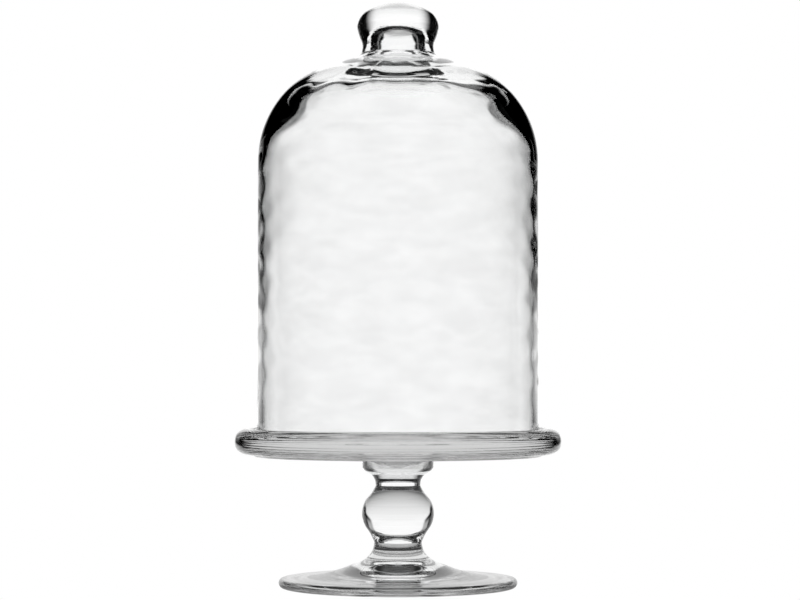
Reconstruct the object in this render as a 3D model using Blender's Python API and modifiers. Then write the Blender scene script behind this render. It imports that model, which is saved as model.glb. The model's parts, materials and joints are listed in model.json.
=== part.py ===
"""Footed cake stand with a lift-off bell dome, all in clear glass.

Frame: metres, +Z up, the origin is on the turning axis in the plane that the foot stands on.
Every piece is turned about Z.  A profile is a list of (radius, height) points, and it runs
down the outer side of its piece from top to bottom.
"""

import bpy
from math import cos, hypot, radians, sin

# ---------------------------------------------------------------- driving dimensions (metres)
SEGMENTS = 48               # facets round a turned piece
JOINT_GAP = 0.0003          # clearance left between pieces that touch

FOOT_RADIUS = 0.0595
FOOT_EDGE_HEIGHT = 0.0028   # height of the foot's widest point
TREAD_OUTSIDE = 0.0548      # flat ring that touches the table
TREAD_INSIDE = 0.0520
FOOT_HOLLOW = 0.0028        # rise of the hollow under the foot
PUNT_RADIUS = 0.0120        # ground-out pit under the stem
PUNT_DEPTH = 0.0022

WAIST_RADIUS = 0.0118       # where the foot meets the knop
WAIST_HEIGHT = 0.0225
KNOP_RADIUS = 0.0180        # ball in the middle of the stem
KNOP_HEIGHT = 0.0368
NECK_RADIUS = 0.0111        # where the knop meets the collar
NECK_HEIGHT = 0.0508
COLLAR_RADIUS = 0.01775
COLLAR_SHOULDER = 0.0600    # height where the collar reaches its full radius

PLATE_RADIUS = 0.0815
PLATE_MIDDLE = 0.0735       # height of the rim's widest point
LEDGE_RADIUS = 0.0722       # raised band under the plate
LEDGE_BOTTOM = 0.0655
LEDGE_WIDTH = 0.0060
PLATE_UNDERSIDE = 0.0700
WELL_FLOOR = 0.0770         # flat top of the plate, where the dome stands
WELL_RADIUS = 0.0718
LIP_RADIUS = 0.0750
LIP_HEIGHT = 0.0794

DOME_RADIUS = 0.0704        # outside, at the mouth
DOME_SHOULDER = 0.2100      # height where the wall starts to turn in
WALL = 0.0030
BORE_RADIUS = 0.0112        # hollow that runs up through the crown into the knob
CROWN_TOP = 0.2670          # where the knob is joined on

KNOB_RADIUS = 0.0205
KNOB_HEIGHT = 0.2805        # height of the knob's widest point
KNOB_TOP = 0.2922
KNOB_NECK = 0.0178
KNOB_NECK_HEIGHT = 0.2708
BORE_TOP = 0.2812

CLEAR_GLASS = (0.93, 0.95, 0.95, 1.0)


# ---------------------------------------------------------------- outline helpers
def arc(centre, radius, start, end, count):
    """Points on a circular arc in the (radius, height) plane, angles in degrees from +radius."""
    points = []
    for i in range(count + 1):
        angle = radians(start + (end - start) * i / count)
        points.append((centre[0] + radius * cos(angle), centre[1] + radius * sin(angle)))
    return points


def flowing(points, per_span):
    """A smooth curve through the given points, with per_span steps between neighbours."""
    runs = [hypot(b[0] - a[0], b[1] - a[1]) for a, b in zip(points, points[1:])]
    rates = [tuple((q - p) / run for p, q in zip(a, b))
             for a, b, run in zip(points, points[1:], runs)]
    inner = [tuple((after * u + before * v) / (before + after) for u, v in zip(rate, rate_next))
             for before, after, rate, rate_next in zip(runs, runs[1:], rates, rates[1:])]
    directions = [rates[0], *inner, rates[-1]]
    curve = []
    for a, b, run, u, v in zip(points, points[1:], runs, directions, directions[1:]):
        for i in range(per_span):
            t = i / per_span
            curve.append(tuple(
                (1 + 2 * t) * (1 - t) ** 2 * p + t * (1 - t) ** 2 * run * m
                + t * t * (3 - 2 * t) * q - t * t * (1 - t) * run * n
                for p, q, m, n in zip(a, b, u, v)))
    curve.append(points[-1])
    return curve


# ---------------------------------------------------------------- scene helpers
def clear_scene():
    for obj in list(bpy.data.objects):
        bpy.data.objects.remove(obj, do_unlink=True)


def new_collection(name):
    collection = bpy.data.collections.new(name)
    bpy.context.scene.collection.children.link(collection)
    return collection


def glass(name, roughness):
    material = bpy.data.materials.new(name)
    material.use_nodes = True
    shader = material.node_tree.nodes["Principled BSDF"]
    shader.inputs["Base Color"].default_value = CLEAR_GLASS
    shader.inputs["Roughness"].default_value = roughness
    shader.inputs["Metallic"].default_value = 0.0
    shader.inputs["IOR"].default_value = 1.5
    shader.inputs["Transmission Weight"].default_value = 1.0
    return material


def turned(name, profile, material, collection, parent, ring=False):
    """A solid of revolution.  A ring's profile closes on itself, any other ends on the axis."""
    count = len(profile)
    edges = [(i, i + 1) for i in range(count - 1)]
    if ring:
        edges.append((count - 1, 0))
    mesh = bpy.data.meshes.new(name)
    mesh.from_pydata([(r, 0.0, z) for r, z in profile], edges, [])
    mesh.materials.append(material)

    piece = bpy.data.objects.new(name, mesh)
    collection.objects.link(piece)
    piece.parent = parent

    screw = piece.modifiers.new("Turn", "SCREW")
    screw.axis = "Z"
    screw.steps = SEGMENTS
    screw.render_steps = SEGMENTS
    screw.use_merge_vertices = True
    screw.merge_threshold = 0.00001
    screw.use_smooth_shade = True
    return piece


# ---------------------------------------------------------------- outlines of the stand
def foot_outline():
    """Flared foot: neck, spreading top, round edge, flat tread and a hollow underside."""
    top = flowing([
        (WAIST_RADIUS, WAIST_HEIGHT),
        (0.0126, 0.0190),
        (0.0162, 0.0145),
        (0.0232, 0.0114),
        (0.0328, 0.0080),
        (0.0455, 0.0058),
        (0.0560, 0.0050),
        (FOOT_RADIUS - 0.0007, FOOT_EDGE_HEIGHT + 0.0016),
        (FOOT_RADIUS, FOOT_EDGE_HEIGHT),
        (FOOT_RADIUS - 0.0007, FOOT_EDGE_HEIGHT - 0.0019),
        (TREAD_OUTSIDE, 0.0),
    ], 2)
    underside = flowing([
        (TREAD_INSIDE, 0.0),
        (TREAD_INSIDE - 0.0040, 0.8 * FOOT_HOLLOW),
        (TREAD_INSIDE - 0.0135, FOOT_HOLLOW),
        (PUNT_RADIUS, FOOT_HOLLOW),
        (PUNT_RADIUS - 0.0015, FOOT_HOLLOW + 0.6 * PUNT_DEPTH),
        (PUNT_RADIUS - 0.0050, FOOT_HOLLOW + PUNT_DEPTH),
    ], 2)
    return [(0.0, WAIST_HEIGHT), *top, *underside, (0.0, FOOT_HOLLOW + PUNT_DEPTH)]


def knop_outline():
    """Solid ball between two narrow necks."""
    bottom = WAIST_HEIGHT + JOINT_GAP
    side = flowing([
        (NECK_RADIUS, NECK_HEIGHT),
        (0.0131, 0.0474),
        (0.0164, 0.0432),
        (KNOP_RADIUS, KNOP_HEIGHT),
        (0.0168, 0.0317),
        (0.0137, 0.0268),
        (WAIST_RADIUS, bottom),
    ], 3)
    return [(0.0, NECK_HEIGHT), *side, (0.0, bottom)]


def collar_outline():
    """Trumpet that opens from the knop's upper neck to the drum under the plate."""
    top = PLATE_UNDERSIDE - JOINT_GAP
    bottom = NECK_HEIGHT + JOINT_GAP
    drum = [(0.0, top), (COLLAR_RADIUS, top)]
    trumpet = flowing([
        (COLLAR_RADIUS, COLLAR_SHOULDER),
        (0.0166, 0.0584),
        (0.0128, 0.0558),
        (0.0115, 0.0537),
        (NECK_RADIUS, bottom),
    ], 2)
    return [*drum, *trumpet, (0.0, bottom)]


def plate_outline():
    """Round plate: flat well, raised lip, rolled rim and a band that hangs underneath."""
    lip = flowing([
        (WELL_RADIUS, WELL_FLOOR),
        (WELL_RADIUS + 0.0012, LIP_HEIGHT - 0.0008),
        (LIP_RADIUS, LIP_HEIGHT),
        (0.0776, 0.0789),
        (0.0803, 0.0771),
        (PLATE_RADIUS, PLATE_MIDDLE),
        (0.0804, 0.0690),
        (0.0778, 0.0671),
        (LEDGE_RADIUS + 0.0008, 0.0666),
    ], 2)
    band_inside = LEDGE_RADIUS - LEDGE_WIDTH
    band = [
        (LEDGE_RADIUS, LEDGE_BOTTOM + 0.0004),
        (LEDGE_RADIUS - 0.0005, LEDGE_BOTTOM),
        (band_inside, LEDGE_BOTTOM),
    ]
    underside = flowing([
        (band_inside - 0.0015, LEDGE_BOTTOM + 0.0024),
        (band_inside - 0.0050, PLATE_UNDERSIDE - 0.0004),
        (band_inside - 0.0100, PLATE_UNDERSIDE),
    ], 2)
    return [(0.0, WELL_FLOOR), *lip, *band, *underside, (0.0, PLATE_UNDERSIDE)]


# ---------------------------------------------------------------- outlines of the dome
def bell_outline():
    """Tall bell, open below, thin at the wall and thick at the crown, bored for the knob."""
    mouth = WELL_FLOOR + JOINT_GAP
    lip = WALL / 2
    outside = flowing([
        (0.0183, CROWN_TOP),
        (0.0203, 0.2650),
        (0.0308, 0.2620),
        (0.0425, 0.2575),
        (0.0550, 0.2491),
        (0.0633, 0.2382),
        (0.0685, 0.2253),
        (0.0699, 0.2160),
        (0.0700, DOME_SHOULDER),
    ], 2)
    rim = arc((DOME_RADIUS - lip, mouth + lip), lip, 0, -180, 6)
    inside = flowing([
        (0.0670, DOME_SHOULDER - 0.0010),
        (0.0667, 0.2140),
        (0.0648, 0.2240),
        (0.0585, 0.2350),
        (0.0480, 0.2460),
        (0.0340, 0.2510),
        (0.0240, 0.2549),
        (0.0172, 0.2577),
        (0.0146, 0.2597),
        (0.0122, 0.2621),
        (BORE_RADIUS + 0.0002, 0.2645),
        (BORE_RADIUS, CROWN_TOP),
    ], 2)
    return [*outside, *rim, *inside]


def knob_outline():
    """Rounded knob on a short thick neck, with a blind hollow up its middle."""
    bottom = CROWN_TOP + JOINT_GAP
    side = flowing([
        (0.0, KNOB_TOP),
        (0.0058, 0.2919),
        (0.0118, 0.2900),
        (0.0180, 0.2864),
        (KNOB_RADIUS, KNOB_HEIGHT),
        (0.0196, 0.2763),
        (KNOB_NECK, KNOB_NECK_HEIGHT),
        (0.0183, bottom),
    ], 3)
    bore = flowing([
        (BORE_RADIUS, bottom),
        (0.0106, 0.2695),
        (0.0106, 0.2740),
        (0.0104, 0.2775),
        (0.0088, 0.2801),
        (0.0040, BORE_TOP - 0.0001),
        (0.0, BORE_TOP),
    ], 2)
    return [*side, *bore]


# ---------------------------------------------------------------- assembly
def build():
    clear_scene()
    collection = new_collection("cake_stand_dome")

    stand = bpy.data.objects.new("stand", None)
    dome = bpy.data.objects.new("dome", None)
    for empty in (stand, dome):
        collection.objects.link(empty)

    pressed_glass = glass("pressed_glass", 0.02)
    blown_glass = glass("blown_glass", 0.01)

    turned("foot", foot_outline(), pressed_glass, collection, stand)
    turned("stem_knop", knop_outline(), pressed_glass, collection, stand)
    turned("stem_collar", collar_outline(), pressed_glass, collection, stand)
    turned("plate", plate_outline(), pressed_glass, collection, stand)
    turned("dome_bell", bell_outline(), blown_glass, collection, dome, ring=True)
    turned("dome_knob", knob_outline(), blown_glass, collection, dome)


build()
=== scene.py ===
"""Looks of the footed cake stand and its bell dome: clear glass against a bright backdrop.

Every glass piece is a closed solid turned about Z from a smooth outline.  Where two pieces
are fused in the furnace their joint faces are see-through, so the glass reads as one body.
The camera sees a plain white floor and backdrop.  The glass sees a bright screen in a dark
tent instead, which the camera doesn't see and which turns with it.
"""

import json
from math import cos, hypot, pi, radians, sin

import bpy
import numpy as np
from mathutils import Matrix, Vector

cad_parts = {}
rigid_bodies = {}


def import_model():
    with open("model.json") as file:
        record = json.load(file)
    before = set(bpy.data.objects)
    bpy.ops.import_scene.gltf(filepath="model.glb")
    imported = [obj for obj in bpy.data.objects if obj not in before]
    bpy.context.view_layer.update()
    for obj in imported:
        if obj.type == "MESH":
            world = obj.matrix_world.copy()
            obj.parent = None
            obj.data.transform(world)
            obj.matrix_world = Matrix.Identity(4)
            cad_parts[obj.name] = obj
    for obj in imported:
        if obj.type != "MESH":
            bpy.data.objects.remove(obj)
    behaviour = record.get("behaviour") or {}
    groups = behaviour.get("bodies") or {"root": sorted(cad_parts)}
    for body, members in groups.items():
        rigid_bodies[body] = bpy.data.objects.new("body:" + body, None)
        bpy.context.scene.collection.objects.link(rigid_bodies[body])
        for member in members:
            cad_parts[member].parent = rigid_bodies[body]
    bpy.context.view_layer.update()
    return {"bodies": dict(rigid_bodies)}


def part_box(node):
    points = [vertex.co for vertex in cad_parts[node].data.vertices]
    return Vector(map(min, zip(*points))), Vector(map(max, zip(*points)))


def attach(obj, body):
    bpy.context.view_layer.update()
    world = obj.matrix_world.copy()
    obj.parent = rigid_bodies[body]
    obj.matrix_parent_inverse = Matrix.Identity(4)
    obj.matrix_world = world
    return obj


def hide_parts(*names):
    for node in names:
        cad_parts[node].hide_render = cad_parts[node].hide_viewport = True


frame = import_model()

# ---------------------------------------------------------------- sizes read from the frame
FOOT_LOW, FOOT_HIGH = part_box("foot")
KNOP_LOW, KNOP_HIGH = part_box("stem_knop")
COLLAR_LOW, COLLAR_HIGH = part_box("stem_collar")
PLATE_LOW, PLATE_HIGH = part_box("plate")
BELL_LOW, BELL_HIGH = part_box("dome_bell")
KNOB_LOW, KNOB_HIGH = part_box("dome_knob")

FOOT_RADIUS = FOOT_HIGH.x
KNOP_RADIUS = KNOP_HIGH.x
COLLAR_RADIUS = COLLAR_HIGH.x
PLATE_RADIUS = PLATE_HIGH.x
BELL_RADIUS = BELL_HIGH.x
KNOB_RADIUS = KNOB_HIGH.x

TABLE = FOOT_LOW.z
WAIST = (FOOT_HIGH.z + KNOP_LOW.z) / 2       # foot meets knop
NECK = (KNOP_HIGH.z + COLLAR_LOW.z) / 2      # knop meets collar
UNDERSIDE = COLLAR_HIGH.z                    # collar meets plate
LEDGE = PLATE_LOW.z
LIP = PLATE_HIGH.z
MOUTH = BELL_LOW.z
CROWN = (BELL_HIGH.z + KNOB_LOW.z) / 2       # bell meets knob
TOP = KNOB_HIGH.z

# ---------------------------------------------------------------- finer sizes (metres)
STEP = 0.0008               # spacing of outline points along a curve
SEGMENTS = 240              # facets round a piece
SAME = 1e-7                 # lengths that differ by less are the same
CREASE = 50                 # degrees between faces from which an edge is sharp

WAIST_RADIUS = 0.0118
NECK_RADIUS = 0.0111
CROWN_RADIUS = 0.0183
FOOT_HOLLOW = 0.0028        # rise of the recess under the foot
PUNT_TOP = 0.0050           # top of the small pit in its middle
WELL_RADIUS = 0.0718        # edge of the plate's flat well
WELL_DROP = 0.0024          # from the plate's lip down to the well
WALL = 0.0030               # thickness of the bell's wall
SHOULDER = 0.2100           # height where the bell's wall starts to turn in
BORE_RADIUS = 0.0112        # hollow up the middle, where the bell meets the knob
BORE_TOP = 0.2812           # ceiling of the hollow, inside the knob

DIMPLES_ROUND = 15          # dimples in one row round the bell
DIMPLE_ROW = 0.0095         # height from one row to the next
DIMPLE_DEPTH = 0.00005
DIMPLES_LOW = MOUTH + 0.018  # heights between which the wall is dimpled
DIMPLES_HIGH = 0.228
CROWN_LUMPS = 11            # lumps round the underside of the crown
LUMP_DEPTH = 0.00009
LUMPS_LOW = 0.2440          # heights between which the crown is lumpy
LUMPS_HIGH = 0.2520


# ---------------------------------------------------------------- outlines
def arc(centre, radius, start, end, count):
    """Points on a circular arc in the (radius, height) plane, angles in degrees from +radius."""
    points = []
    for i in range(count + 1):
        angle = radians(start + (end - start) * i / count)
        points.append((centre[0] + radius * cos(angle), centre[1] + radius * sin(angle)))
    return points


def step_up(value, edge, softness):
    """0 well below edge, 1 well above it, with a smooth rise softness wide."""
    t = min(1.0, max(0.0, (value - edge) / softness + 0.5))
    return t * t * (3 - 2 * t)


def plateau(value, low, high, softness):
    """1 between low and high, 0 outside them, with smooth flanks."""
    return step_up(value, low, softness) * (1 - step_up(value, high, softness))


def slopes(points):
    """Lengths of the runs between points, and a smooth curve's direction at each point."""
    runs = [hypot(b[0] - a[0], b[1] - a[1]) for a, b in zip(points, points[1:])]
    rates = [tuple((q - p) / run for p, q in zip(a, b))
             for a, b, run in zip(points, points[1:], runs)]
    inner = [tuple((after * u + before * v) / (before + after) for u, v in zip(rate, rate_next))
             for before, after, rate, rate_next in zip(runs, runs[1:], rates, rates[1:])]
    return runs, [rates[0], *inner, rates[-1]]


def flowing(points):
    """A smooth curve through the given points, with a step of about STEP."""
    runs, directions = slopes(points)
    curve = []
    for a, b, run, u, v in zip(points, points[1:], runs, directions, directions[1:]):
        count = max(2, round(run / STEP))
        for i in range(count):
            t = i / count
            curve.append(tuple(
                (1 + 2 * t) * (1 - t) ** 2 * p + t * (1 - t) ** 2 * run * m
                + t * t * (3 - 2 * t) * q - t * t * (1 - t) * run * n
                for p, q, m, n in zip(a, b, u, v)))
    curve.append(points[-1])
    return curve


def straight(start, end, spacing):
    """Points on a straight run, end left out."""
    count = max(1, round(hypot(end[0] - start[0], end[1] - start[1]) / spacing))
    return [(start[0] + (end[0] - start[0]) * i / count,
             start[1] + (end[1] - start[1]) * i / count) for i in range(count)]


# ---------------------------------------------------------------- meshes
def turned(name, outline, body, nodes, materials, joints=(), ring=False, relief=None,
           relief_from=0):
    """A closed solid of revolution.

    The outline runs down the outer side, and ring joins its end to its start.  joints are the
    heights of its see-through joint faces.  relief(angles, radius, height) is how deep each
    point is pressed into the glass, from outline point relief_from on.
    """
    angles = np.linspace(0, 2 * pi, SEGMENTS, endpoint=False)
    vertices, rings = [], []
    for place, (radius, height) in enumerate(outline):
        if radius < SAME:
            rings.append([len(vertices)])
            vertices.append((0.0, 0.0, height))
            continue
        rings.append(range(len(vertices), len(vertices) + SEGMENTS))
        push = np.zeros(SEGMENTS)
        if relief is not None and place >= relief_from:
            push = relief(angles, radius, height)
        before, after = outline[place - 1], outline[(place + 1) % len(outline)]
        run = hypot(after[0] - before[0], after[1] - before[1])
        radii = radius + push * (after[1] - before[1]) / run
        heights = height - push * (after[0] - before[0]) / run
        vertices.extend(zip(radii * np.cos(angles), radii * np.sin(angles), heights))

    faces, slots = [], []
    pairs = list(zip(range(len(outline)), range(1, len(outline))))
    if ring:
        pairs.append((len(outline) - 1, 0))
    for upper, lower in pairs:
        a, b = rings[upper], rings[lower]
        ends = (outline[upper][1], outline[lower][1])
        fused = any(abs(ends[0] - z) < SAME and abs(ends[1] - z) < SAME for z in joints)
        for i in range(SEGMENTS):
            j = (i + 1) % SEGMENTS
            if len(a) == 1:
                faces.append((a[0], b[i], b[j]))
            elif len(b) == 1:
                faces.append((a[i], b[0], a[j]))
            else:
                faces.append((a[i], b[i], b[j], a[j]))
            slots.append(1 if fused else 0)

    mesh = bpy.data.meshes.new(name)
    mesh.from_pydata(vertices, [], faces)
    for material in materials:
        mesh.materials.append(material)
    mesh.polygons.foreach_set("material_index", slots)
    mesh.shade_smooth()
    mesh.set_sharp_from_angle(angle=radians(CREASE))
    piece = bpy.data.objects.new(name, mesh)
    bpy.context.scene.collection.objects.link(piece)
    piece.visible_shadow = False
    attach(piece, body)
    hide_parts(*nodes)
    return piece


# ---------------------------------------------------------------- materials
RED = 0.997                 # the glass is faintly cool: it lets through a trace less red


def clear_glass(name):
    """Colourless glass; returns the material, its node tree and its shader."""
    material = bpy.data.materials.new(name)
    material.use_nodes = True
    tree = material.node_tree
    shader = tree.nodes["Principled BSDF"]
    shader.inputs["Roughness"].default_value = 0.0
    shader.inputs["IOR"].default_value = 1.5
    shader.inputs["Transmission Weight"].default_value = 1.0
    return material, tree, shader


def object_place(tree):
    """The point's place on the object: as a vector, and as its X, Y and Z."""
    place = tree.nodes.new("ShaderNodeTexCoord").outputs["Object"]
    parts = tree.nodes.new("ShaderNodeSeparateXYZ")
    tree.links.new(place, parts.inputs[0])
    return place, parts.outputs


def stretched(tree, vector, scale):
    mapping = tree.nodes.new("ShaderNodeMapping")
    mapping.inputs["Scale"].default_value = scale
    tree.links.new(vector, mapping.inputs["Vector"])
    return mapping.outputs[0]


def noise(tree, vector, scale, detail):
    cloud = tree.nodes.new("ShaderNodeTexNoise")
    cloud.inputs["Scale"].default_value = scale
    cloud.inputs["Detail"].default_value = detail
    tree.links.new(vector, cloud.inputs["Vector"])
    return cloud.outputs["Fac"]


def arithmetic(tree, operation, *terms):
    """A Math node.  A term is a number or another node's output."""
    node = tree.nodes.new("ShaderNodeMath")
    node.operation = operation
    for term, socket in zip(terms, node.inputs):
        if isinstance(term, float):
            socket.default_value = term
        else:
            tree.links.new(term, socket)
    return node.outputs[0]


def rising(tree, value, zero_at, one_at):
    """0 where value is zero_at or beyond, 1 where it is one_at or beyond, even between."""
    node = tree.nodes.new("ShaderNodeMapRange")
    node.inputs["From Min"].default_value = zero_at
    node.inputs["From Max"].default_value = one_at
    tree.links.new(value, node.inputs["Value"])
    return node.outputs["Result"]


def tint(tree, shader, factor, stops):
    """Drives the glass colour by a factor, through (position, grey) stops."""
    ramp = tree.nodes.new("ShaderNodeValToRGB")
    for element, (position, grey) in zip(ramp.color_ramp.elements, stops):
        element.position = position
        element.color = (grey * RED, grey, grey, 1.0)
    tree.links.new(factor, ramp.inputs["Fac"])
    tree.links.new(ramp.outputs["Color"], shader.inputs["Base Color"])


def ripple(tree, shader, factor, strength, depth):
    """Bends the surface by a factor, depth in metres."""
    bump = tree.nodes.new("ShaderNodeBump")
    bump.inputs["Strength"].default_value = strength
    bump.inputs["Distance"].default_value = depth
    tree.links.new(factor, bump.inputs["Height"])
    tree.links.new(bump.outputs["Normal"], shader.inputs["Normal"])


def pressed_glass():
    """Pressed in a mould: faint rings round the axis, and painted shade away from the stem."""
    material, tree, shader = clear_glass("pressed_glass")
    axes = object_place(tree)[1]
    flat = tree.nodes.new("ShaderNodeCombineXYZ")
    tree.links.new(axes["X"], flat.inputs["X"])
    tree.links.new(axes["Y"], flat.inputs["Y"])
    length = tree.nodes.new("ShaderNodeVectorMath")
    length.operation = "LENGTH"
    tree.links.new(flat.outputs[0], length.inputs[0])
    radius = length.outputs["Value"]

    flattened = 3.0             # the rings are this much finer in height than in radius
    section = tree.nodes.new("ShaderNodeCombineXYZ")
    tree.links.new(radius, section.inputs["X"])
    tree.links.new(arithmetic(tree, "MULTIPLY", axes["Z"], flattened), section.inputs["Z"])
    rings = noise(tree, section.outputs[0], 500.0, 2.0)

    # painted shade: the glass greys from near the stem out to 50 mm, over the rims of foot and
    # plate; the rings are the glass's own
    unshaded_towards_stem = rising(tree, radius, 0.05, 0.015)
    texture_and_painted_shade = arithmetic(tree, "MULTIPLY", arithmetic(tree, "ADD", rings, unshaded_towards_stem), 0.5)
    tint(tree, shader, texture_and_painted_shade, ((0.15, 0.56), (0.75, 0.98)))
    ripple(tree, shader, rings, 0.02, 0.0003)
    return material


def blown_glass():
    """Blown into a dimpled mould: wide, soft clouds stretched round the bell."""
    material, tree, shader = clear_glass("blown_glass")
    place = object_place(tree)[0]
    clouds = noise(tree, stretched(tree, place, (0.6, 0.6, 1.4)), 75.0, 2.5)
    tint(tree, shader, clouds, ((0.38, 0.955), (0.62, 1.0)))
    return material


def knob_glass():
    """Gathered and turned by hand: fine cords running round, and painted shade greying the cap."""
    material, tree, shader = clear_glass("knob_glass")
    place, axes = object_place(tree)
    cords = noise(tree, stretched(tree, place, (0.18, 0.18, 1.5)), 380.0, 3.0)
    # painted shade: the glass greys from 0.280 m up to the top of the cap; the cords are the
    # glass's own
    unshaded_below_cap = rising(tree, axes["Z"], 0.2925, 0.2800)
    texture_and_painted_shade = arithmetic(tree, "MULTIPLY_ADD", cords, 0.35, unshaded_below_cap)
    tint(tree, shader, texture_and_painted_shade, ((0.25, 0.55), (1.0, 1.0)))
    ripple(tree, shader, cords, 0.35, 0.0004)
    return material


def fused_joint():
    """See-through: there is no surface where two pieces are fused."""
    material = bpy.data.materials.new("fused_joint")
    material.use_nodes = True
    shader = material.node_tree.nodes["Principled BSDF"]
    shader.inputs["Alpha"].default_value = 0.0
    return material


def emitter(name):
    """Plain white light of strength 1."""
    material = bpy.data.materials.new(name)
    material.use_nodes = True
    tree = material.node_tree
    tree.nodes.remove(tree.nodes["Principled BSDF"])
    light = tree.nodes.new("ShaderNodeEmission")
    light.inputs["Color"].default_value = (1.0, 1.0, 1.0, 1.0)
    light.inputs["Strength"].default_value = 1.0
    tree.links.new(light.outputs[0], tree.nodes["Material Output"].inputs["Surface"])
    return material


# ---------------------------------------------------------------- the stand
def foot_outline():
    top = flowing([
        (WAIST_RADIUS, WAIST),
        (0.0126, 0.0190),
        (0.0162, 0.0145),
        (0.0232, 0.0114),
        (0.0328, 0.0080),
        (0.0455, 0.0058),
        (0.0560, 0.0050),
        (0.0588, 0.0044),
        (FOOT_RADIUS, 0.0028),
        (0.0588, 0.0009),
        (0.0548, TABLE),
    ])
    under = flowing([
        (0.0520, TABLE),
        (0.0480, 0.0022),
        (0.0385, FOOT_HOLLOW),
        (0.0120, FOOT_HOLLOW),
        (0.0105, 0.0041),
        (0.0070, PUNT_TOP),
        (0.0, PUNT_TOP),
    ])
    return [(0.0, WAIST), *top, *under]


def knop_outline():
    side = flowing([
        (NECK_RADIUS, NECK),
        (0.0131, 0.0474),
        (0.0164, 0.0432),
        (KNOP_RADIUS, 0.0368),
        (0.0168, 0.0317),
        (0.0137, 0.0268),
        (WAIST_RADIUS, WAIST),
    ])
    return [(0.0, NECK), *side, (0.0, WAIST)]


def collar_outline():
    trumpet = flowing([
        (COLLAR_RADIUS, 0.0600),
        (0.0166, 0.0584),
        (0.0128, 0.0558),
        (0.0115, 0.0537),
        (NECK_RADIUS, NECK),
    ])
    return [(0.0, UNDERSIDE), (COLLAR_RADIUS, UNDERSIDE), *trumpet, (0.0, NECK)]


def plate_outline():
    well = LIP - WELL_DROP
    top = flowing([
        (WELL_RADIUS, well),
        (0.0730, LIP - 0.0008),
        (0.0750, LIP),
        (0.0776, 0.0789),
        (0.0803, 0.0771),
        (PLATE_RADIUS, 0.0735),
        (0.0804, 0.0690),
        (0.0778, 0.0671),
        (0.0730, 0.0666),
    ])
    band = [(0.0722, LEDGE + 0.0004), (0.0717, LEDGE), (0.0662, LEDGE)]
    under = flowing([
        (0.0647, LEDGE + 0.0024),
        (0.0612, UNDERSIDE - 0.0004),
        (0.0562, UNDERSIDE),
        (COLLAR_RADIUS, UNDERSIDE),
        (0.0, UNDERSIDE),
    ])
    floor_of_well = straight((0.001, well), (WELL_RADIUS, well), 3 * STEP)
    return [(0.0, well), *floor_of_well, *top, *band, *under]


# ---------------------------------------------------------------- the dome
def bell_outline():
    """The bell's outline, and the number of its first point inside."""
    lip = WALL / 2
    outside = flowing([
        (CROWN_RADIUS, CROWN),
        (0.0203, 0.2650),
        (0.0308, 0.2620),
        (0.0425, 0.2575),
        (0.0550, 0.2491),
        (0.0633, 0.2382),
        (0.0685, 0.2253),
        (0.0699, 0.2160),
        (0.0700, SHOULDER),
    ])
    rim = arc((BELL_RADIUS - lip, MOUTH + lip), lip, 0, -180, 8)
    inside = flowing([
        (0.0670, SHOULDER - 0.0010),
        (0.0667, 0.2140),
        (0.0648, 0.2240),
        (0.0585, 0.2350),
        (0.0480, 0.2460),
        (0.0340, 0.2510),
        (0.0240, 0.2549),
        (0.0172, 0.2577),
        (0.0146, 0.2597),
        (0.0122, 0.2621),
        (BORE_RADIUS + 0.0002, 0.2645),
        (BORE_RADIUS, CROWN),
    ])
    shell = [*outside[:-1], *straight(outside[-1], rim[0], 5 * STEP), *rim[:-1]]
    return [*shell, *straight(rim[-1], inside[0], 1.6 * STEP), *inside], len(shell)


def dimples(angles, radius, height):
    """Staggered rows of shallow dimples on the inside of the bell, wider ones at the crown.

    drift bends the rows, and swell adds a few wide, slow waves to them.
    """
    drift = 0.9 * np.sin(2 * angles + 40 * height) + 0.5 * np.sin(5 * angles - 95 * height)
    wave = np.cos(DIMPLES_ROUND * angles + drift) * np.cos(pi * height / DIMPLE_ROW + 0.6 * drift)
    swell = np.sin(7 * angles + 1.3 - 70 * height) * sin(120 * height)
    wall = step_up(height, DIMPLES_LOW, 0.03) * (1 - step_up(height, DIMPLES_HIGH, 0.024))
    lumps = np.cos(CROWN_LUMPS * angles + 1.1 * np.sin(3 * angles)) + 0.5 * np.cos(17 * angles)
    crown = plateau(height, LUMPS_LOW, LUMPS_HIGH, 0.004)
    return DIMPLE_DEPTH * wall * (wave + 0.7 * swell) + LUMP_DEPTH * crown * lumps


def knob_outline():
    side = flowing([
        (0.0, TOP),
        (0.0058, 0.2919),
        (0.0118, 0.2900),
        (0.0180, 0.2864),
        (KNOB_RADIUS, 0.2805),
        (0.0196, 0.2763),
        (0.0178, 0.2708),
        (CROWN_RADIUS, CROWN),
    ])
    bore = flowing([
        (BORE_RADIUS, CROWN),
        (0.0106, 0.2695),
        (0.0106, 0.2740),
        (0.0104, 0.2775),
        (0.0088, 0.2801),
        (0.0040, BORE_TOP - 0.0001),
        (0.0, BORE_TOP),
    ])
    return [*side, *bore]


# ---------------------------------------------------------------- studio
CAMERA_DISTANCE = 1.325
CAMERA_HEIGHT = 0.112
CAMERA_ASIDE = 0.001        # both the camera and what it looks at are this far to the right
AIM_HEIGHT = 0.1435         # height of the lens axis where it passes the stand's own axis
SENSOR = 36.0               # millimetres
LENS = 119.25

SCREEN_BACK = 0.20          # from the middle of the glass back to the screen
SCREEN_HALF = 0.112         # half width of its bright part, just above the lens axis
SCREEN_RISE = 0.36          # the screen's top, above the lens axis
SCREEN_REACH = 0.55         # the screen's edge, to each side and downwards
SHELF_HALF = 0.205          # half width of the grey shelf that crosses the screen
SHELF_TONE = 0.45
RIG_FOLLOWS = 0.45          # the rig rises by this much of the dome's lift
TENT_RADIUS = 8.0
TENT_DARK = 0.001

SHADE_RADIUS = 0.034        # middle of the soft edge of the stem's shade on the table
SHADE_REACH = 0.064         # the glass sees the table out to here
SHADE_DARK = 0.02
SHADE_RISE = 0.43           # how much lighter the table is outside the shade
TABLE_RADIUS = 0.8          # the floor that the camera sees


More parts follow.
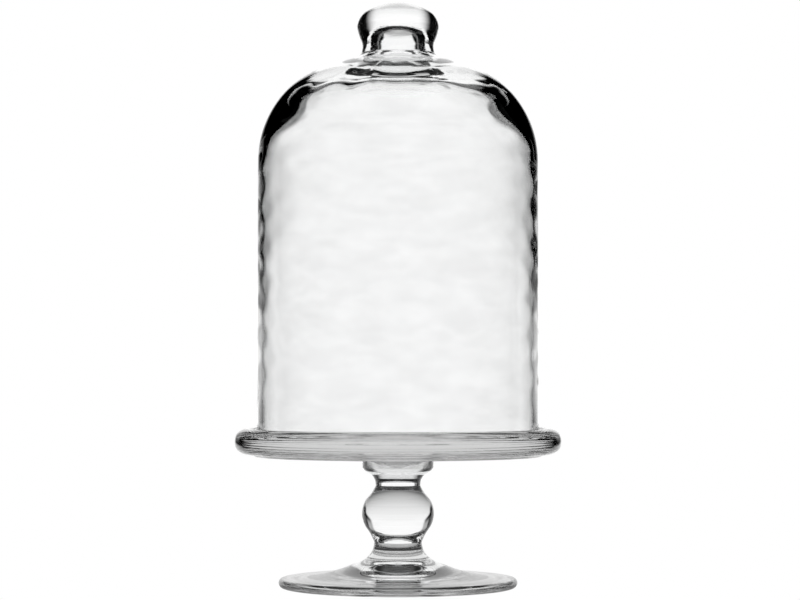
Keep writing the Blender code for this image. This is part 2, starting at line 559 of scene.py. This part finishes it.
def camera():
    lens = bpy.data.cameras.new("camera")
    lens.sensor_width = SENSOR
    lens.lens = LENS
    eye = bpy.data.objects.new("camera", lens)
    bpy.context.scene.collection.objects.link(eye)
    eye.location = (CAMERA_ASIDE, -CAMERA_DISTANCE, CAMERA_HEIGHT)
    look = Vector((CAMERA_ASIDE, 0.0, AIM_HEIGHT)) - eye.location
    eye.rotation_mode = "QUATERNION"
    eye.rotation_quaternion = look.to_track_quat("-Z", "Y")
    bpy.context.scene.camera = eye
    return eye


def screen_tone(across, up):
    """Brightness of the screen that far, in metres, off the lens axis.

    The bright part widens downwards and narrows at the top.  It fades out low down, and it is
    dimmer near its top edge.  The shelf is a grey band that reaches out on both sides of it.
    """
    side = abs(across)
    wider = 0.25 * step_up(-up, 0.0, 0.1) + 0.85 * step_up(-up, 0.10, 0.05)
    wider += 1.6 * step_up(-up, 0.19, 0.12) - 0.30 * step_up(up, 0.17, 0.16)
    softness = 0.3 + 0.6 * plateau(up, 0.03, 0.13, 0.04)
    bright = 1 - step_up(side / (SCREEN_HALF * (1 + wider)), 1.0, softness)
    shelf = SHELF_TONE * plateau(up, -0.07, 0.0, 0.05) * (1 - step_up(side, SHELF_HALF, 0.03))
    glow = 1.10 - 1.0 * step_up(-up, 0.19, 0.26) - 0.6 * step_up(up, 0.28, 0.05)
    return glow * max(bright, shelf) * (1 - step_up(up, SCREEN_RISE - 0.03, 0.06))


def tent_tone(across, up):
    """Brightness of the tent that far, in degrees, off the lens axis.

    ground is the dim floor, brightest ahead, and room is the glow from behind the camera.
    """
    side = abs(across)
    ground = 0.15 * (1 - step_up(up, -25, 20)) * (1 - 0.8 * step_up(side, 65, 30))
    room = 0.03 * step_up(side, 120, 20) * (1 - step_up(-up, 12, 10))
    return max(ground, room, TENT_DARK)


def table_tone(radius):
    """Brightness of the table that far from the axis."""
    return SHADE_DARK + SHADE_RISE * step_up(radius, SHADE_RADIUS, 0.05)


def painted_cloth(name, vertices, faces, tones, pivot):
    """A glowing sheet with a tone of its own at each vertex, unseen by the camera."""
    mesh = bpy.data.meshes.new(name)
    mesh.from_pydata(vertices, [], faces)
    paint = mesh.color_attributes.new("paint", "FLOAT_COLOR", "POINT")
    paint.data.foreach_set("color", [c for tone in tones for c in (tone, tone, tone, 1.0)])
    material = emitter(name)
    tree = material.node_tree
    painted = tree.nodes.new("ShaderNodeVertexColor")
    painted.layer_name = "paint"
    tree.links.new(painted.outputs["Color"], tree.nodes["Emission"].inputs["Color"])
    mesh.materials.append(material)
    cloth = bpy.data.objects.new(name, mesh)
    bpy.context.scene.collection.objects.link(cloth)
    cloth.parent = pivot
    cloth.visible_camera = False
    cloth.visible_shadow = False


def back_screen(pivot):
    """The bright screen close behind the glass."""
    columns, rows = 150, 120
    vertices, tones, faces = [], [], []
    for j in range(rows + 1):
        for i in range(columns + 1):
            across = SCREEN_REACH * (2 * i / columns - 1)
            up = -SCREEN_REACH + (SCREEN_RISE + SCREEN_REACH) * j / rows
            vertices.append((across, up, -SCREEN_BACK))
            tones.append(screen_tone(across, up))
    for j in range(rows):
        for i in range(columns):
            a = j * (columns + 1) + i
            faces.append((a, a + 1, a + columns + 2, a + columns + 1))
    painted_cloth("back_screen", vertices, faces, tones, pivot)


def light_tent(pivot):
    """A big shell round the set: a dark room, with a dim floor and a dim glow behind the camera."""
    across, up = 180, 90
    vertices = [(0.0, -TENT_RADIUS, 0.0), (0.0, TENT_RADIUS, 0.0)]
    tones = [tent_tone(0, -90), tent_tone(0, 90)]
    for row in range(1, up):
        elevation = -90 + 180 * row / up
        for column in range(across):
            azimuth = -180 + 360 * column / across
            vertices.append((
                TENT_RADIUS * sin(radians(azimuth)) * cos(radians(elevation)),
                TENT_RADIUS * sin(radians(elevation)),
                -TENT_RADIUS * cos(radians(azimuth)) * cos(radians(elevation))))
            tones.append(tent_tone(azimuth, elevation))
    faces = []
    last = 2 + (up - 2) * across
    for column in range(across):
        beside = (column + 1) % across
        faces.append((0, 2 + beside, 2 + column))
        faces.append((1, last + column, last + beside))
        for row in range(up - 2):
            low, high = 2 + row * across, 2 + (row + 1) * across
            faces.append((low + column, low + beside, high + beside, high + column))
    painted_cloth("light_tent", vertices, faces, tones, pivot)


def table_top(pivot):
    """The table close under the foot, dark in the stem's shade; only the glass sees it."""
    spokes, rings = 64, 30
    vertices, tones, faces = [(0.0, 0.0, 0.0)], [SHADE_DARK], []
    for ring in range(1, rings + 1):
        radius = SHADE_REACH * ring / rings
        for spoke in range(spokes):
            angle = 2 * pi * spoke / spokes
            vertices.append((radius * cos(angle), radius * sin(angle), 0.0))
            tones.append(table_tone(radius))
    for spoke in range(spokes):
        beside = (spoke + 1) % spokes
        faces.append((0, 1 + spoke, 1 + beside))
        for ring in range(rings - 1):
            near, far = 1 + ring * spokes, 1 + (ring + 1) * spokes
            faces.append((near + spoke, far + spoke, far + beside, near + beside))
    painted_cloth("table_top", vertices, faces, tones, pivot)


def floor():
    """The pale floor that the camera sees.  The glass sees the tent and the table instead."""
    bpy.ops.mesh.primitive_circle_add(vertices=96, radius=TABLE_RADIUS, fill_type="NGON",
                                      location=(0, 0, TABLE - 0.0002))
    sheet = bpy.context.object
    sheet.name = "floor"
    sheet.data.materials.append(emitter("floor"))
    sheet.visible_glossy = sheet.visible_transmission = False
    sheet.visible_shadow = False


def marker(name, height):
    """An empty on the stand's axis, for stage pieces to hang from."""
    empty = bpy.data.objects.new(name, None)
    bpy.context.scene.collection.objects.link(empty)
    empty.location = (0.0, 0.0, height)
    return empty


def studio(eye):
    """White backdrop and floor for the camera, and for the glass a rig that turns with it."""
    world = bpy.data.worlds.new("studio")
    bpy.context.scene.world = world
    world.use_nodes = True
    sky = world.node_tree.nodes["Background"]
    sky.inputs["Color"].default_value = (1.0, 1.0, 1.0, 1.0)
    sky.inputs["Strength"].default_value = 1.0

    pivot = marker("light_rig", AIM_HEIGHT)
    turn = pivot.constraints.new("COPY_ROTATION")
    turn.target = eye
    follow = pivot.constraints.new("COPY_LOCATION")
    follow.target = frame["bodies"]["dome"]
    follow.use_offset = True
    follow.influence = RIG_FOLLOWS
    back_screen(pivot)
    light_tent(pivot)
    table_top(marker("table_level", TABLE - 0.0001))
    floor()


# ---------------------------------------------------------------- make it
joint_face = fused_joint()
pressed = [pressed_glass(), joint_face]
blown = [blown_glass(), joint_face]
gathered = [knob_glass(), joint_face]

foot = turned("foot_glass", foot_outline(), "stand", ["foot"], pressed, [WAIST])
knop = turned("knop_glass", knop_outline(), "stand", ["stem_knop"], pressed, [WAIST, NECK])
collar = turned("collar_glass", collar_outline(), "stand", ["stem_collar"], pressed,
                [NECK, UNDERSIDE])
plate = turned("plate_glass", plate_outline(), "stand", ["plate"], pressed)
bell_profile, inside_from = bell_outline()
bell = turned("bell_glass", bell_profile, "dome", ["dome_bell"], blown, [CROWN], ring=True,
              relief=dimples, relief_from=inside_from)
knob = turned("knob_glass", knob_outline(), "dome", ["dome_knob"], gathered, [CROWN])

studio(camera())
scene = bpy.context.scene
scene.view_settings.view_transform = "Standard"
scene.cycles.max_bounces = 40
scene.cycles.transmission_bounces = 40
scene.cycles.glossy_bounces = 16
scene.cycles.transparent_max_bounces = 16
